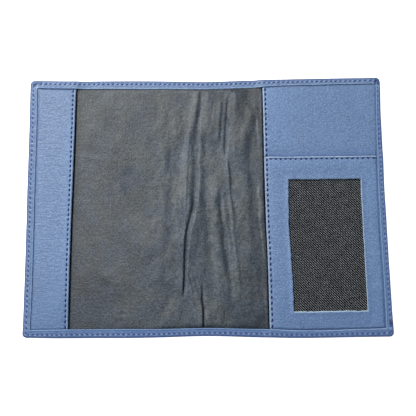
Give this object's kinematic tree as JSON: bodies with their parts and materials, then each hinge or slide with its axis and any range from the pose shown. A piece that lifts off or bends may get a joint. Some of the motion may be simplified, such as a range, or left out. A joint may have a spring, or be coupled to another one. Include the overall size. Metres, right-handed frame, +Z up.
{
  "type": "passport holder",
  "caption": "Folding leather passport cover, open flat: slip pocket strip left, wide slip pocket right with a netted card window, cloth lining, turned and stitched edge.",
  "frame": {"origin": "on the table under the middle of the fold, with the holder lying open and flat", "axes": "+X to the right across the open holder, +Y towards its top edge, +Z up from the table, out of the inside face"},
  "size_m": [0.2, 0.145, 0.0052],
  "materials": {
    "cover_leather": "pebbled full grain, semi-matt",
    "pocket_leather": "pebbled full grain, semi-matt",
    "lining_cloth": "satin weave nylon",
    "window_net": "fine open net",
    "card_lining_cloth": "plain weave cloth",
    "fibre_board": "bonded leather fibre board, smooth and buff",
    "hem_thread": "twisted polyester thread",
    "mouth_thread": "twisted polyester thread"
  },
  "bodies": {
    "left_half": {"hem_thread_left": "hem_thread", "left_bottom_hem": "cover_leather", "left_mouth_thread": "mouth_thread", "left_pocket_backing": "lining_cloth", "left_pocket_leather": "pocket_leather", "left_side_hem": "cover_leather", "left_top_hem": "cover_leather", "lining_left": "lining_cloth", "outer_cover_left": "cover_leather", "outside_thread_left": "hem_thread", "stiffener_left": "fibre_board"},
    "right_half": {"card_mouth_thread": "mouth_thread", "card_pocket_frame": "pocket_leather", "card_pocket_lining": "card_lining_cloth", "card_window_net": "window_net", "hem_thread_right": "hem_thread", "lining_right": "lining_cloth", "outer_cover_right": "cover_leather", "outside_thread_right": "hem_thread", "right_bottom_hem": "cover_leather", "right_mouth_thread": "mouth_thread", "right_pocket_backing": "lining_cloth", "right_pocket_leather": "pocket_leather", "right_side_hem": "cover_leather", "right_top_hem": "cover_leather", "stiffener_right": "fibre_board"}
  },
  "joints": [
    {"name": "spine_fold", "type": "hinge", "parent": "left_half", "child": "right_half", "pos_m": [0, 0, 0.0055], "axis": [0, -1, 0], "range_deg": [0, 179]}
  ]
}
